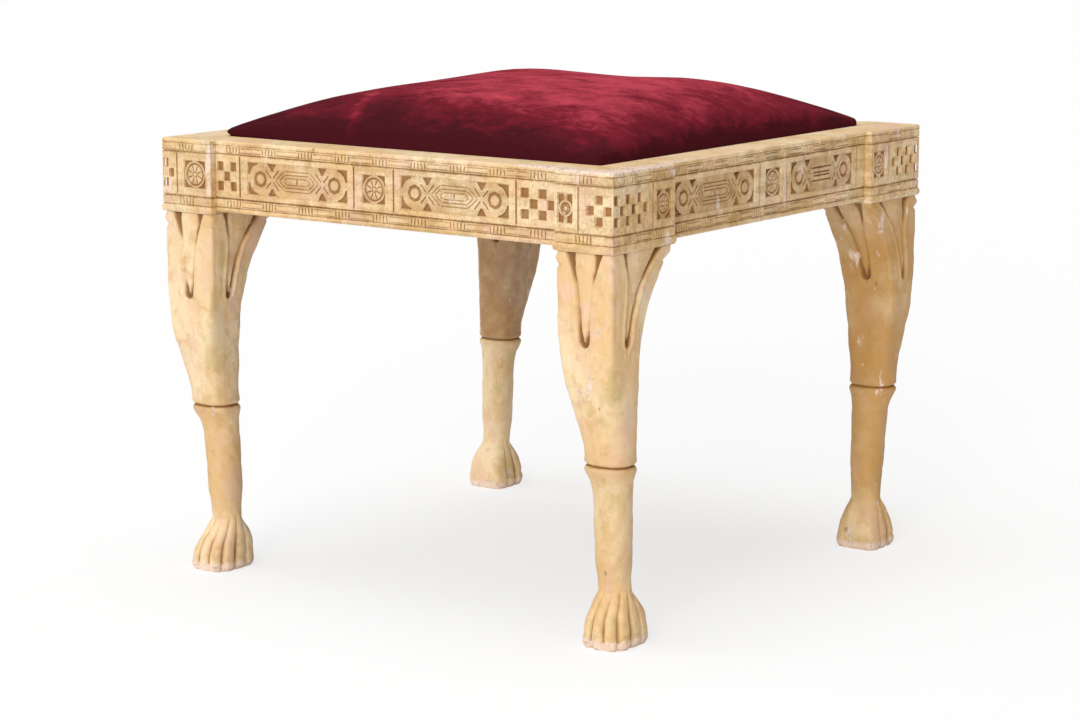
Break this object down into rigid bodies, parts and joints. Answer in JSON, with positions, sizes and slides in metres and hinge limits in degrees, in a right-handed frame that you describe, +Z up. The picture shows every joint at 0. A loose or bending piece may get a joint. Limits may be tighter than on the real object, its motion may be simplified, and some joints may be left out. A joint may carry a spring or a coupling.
{
  "type": "upholstered stool",
  "caption": "Square stool with carved lion legs, a carved frieze frame and a lift-out upholstered seat.",
  "frame": {"origin": "on the floor under the middle of the frame", "axes": "+Z up from the floor; -Y towards the front, the picture's left-hand face; +X towards the right, its right-hand face"},
  "size_m": [0.5626, 0.5776, 0.5045],
  "materials": {
    "painted_wood": "cream paint, worn and glazed brown",
    "bare_wood": "unpainted",
    "screw_steel": "plain",
    "webbing": "woven jute",
    "hessian": "coarse woven",
    "stuffing": "soft filling",
    "velvet": "crimson velvet",
    "dust_cloth": "thin black cloth"
  },
  "bodies": {
    "frame": {"leg_front_left": "painted_wood", "leg_front_right": "painted_wood", "leg_back_right": "painted_wood", "leg_back_left": "painted_wood", "corner_block_front_left": "painted_wood", "corner_block_front_right": "painted_wood", "corner_block_back_right": "painted_wood", "corner_block_back_left": "painted_wood", "rail_front": "painted_wood", "rail_right": "painted_wood", "rail_back": "painted_wood", "rail_left": "painted_wood", "corner_brace_front_left": "bare_wood", "corner_brace_front_right": "bare_wood", "corner_brace_back_right": "bare_wood", "corner_brace_back_left": "bare_wood", "seat_ledge_front": "bare_wood", "seat_ledge_right": "bare_wood", "seat_ledge_back": "bare_wood", "seat_ledge_left": "bare_wood", "brace_screw_front_left_1": "screw_steel", "brace_screw_front_left_2": "screw_steel", "brace_screw_front_right_1": "screw_steel", "brace_screw_front_right_2": "screw_steel", "brace_screw_back_right_1": "screw_steel", "brace_screw_back_right_2": "screw_steel", "brace_screw_back_left_1": "screw_steel", "brace_screw_back_left_2": "screw_steel", "ledge_screw_front_1": "screw_steel", "ledge_screw_front_2": "screw_steel", "ledge_screw_right_1": "screw_steel", "ledge_screw_right_2": "screw_steel", "ledge_screw_back_1": "screw_steel", "ledge_screw_back_2": "screw_steel", "ledge_screw_left_1": "screw_steel", "ledge_screw_left_2": "screw_steel"},
    "seat": {"seat_rail_front": "bare_wood", "seat_rail_right": "bare_wood", "seat_rail_back": "bare_wood", "seat_rail_left": "bare_wood", "webbing_across_1": "webbing", "webbing_across_2": "webbing", "webbing_across_3": "webbing", "webbing_along_1": "webbing", "webbing_along_2": "webbing", "webbing_along_3": "webbing", "hessian": "hessian", "stuffing_pad": "stuffing", "velvet_cover": "velvet", "dust_cloth": "dust_cloth"}
  },
  "joints": [
    {"name": "seat_lift", "type": "slide", "parent": "frame", "child": "seat", "axis": [0, 0, 1], "range_m": [0, 0.1]}
  ]
}
